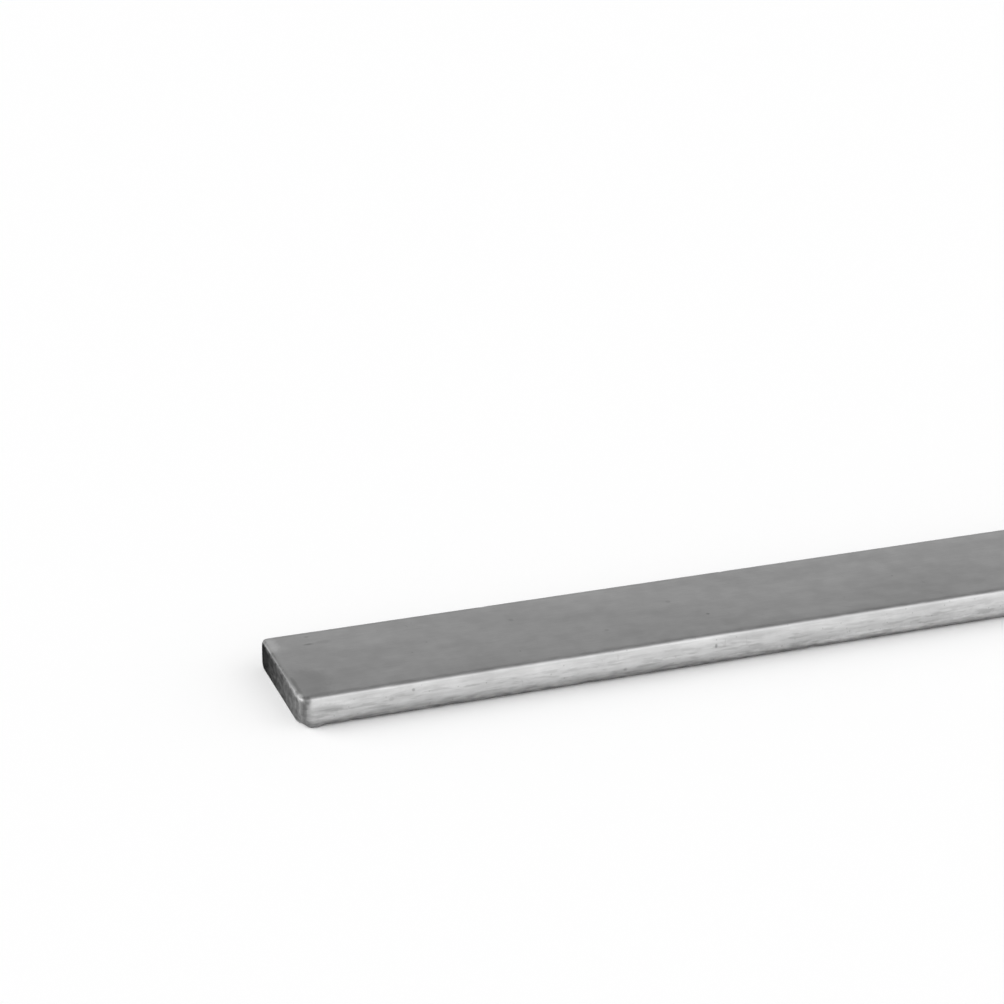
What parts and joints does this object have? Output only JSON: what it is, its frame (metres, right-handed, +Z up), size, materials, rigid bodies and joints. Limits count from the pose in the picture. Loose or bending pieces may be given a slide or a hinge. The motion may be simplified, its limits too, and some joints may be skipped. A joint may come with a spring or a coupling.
{
  "type": "stainless steel flat bar",
  "caption": "Straight flat bar of rolled stainless steel with rounded corners, crowned narrow edges and square-cut ends.",
  "frame": {"origin": "middle of the wide face that the bar lies on", "axes": "+X along the bar, +Y across its width, +Z up through its thickness"},
  "size_m": [1, 0.025, 0.006],
  "materials": {
    "stainless_steel": "hot rolled, annealed and pickled: a soft neutral grey with a faint grain along the bar"
  },
  "bodies": {
    "root": {"flat_bar": "stainless_steel"}
  },
  "joints": []
}
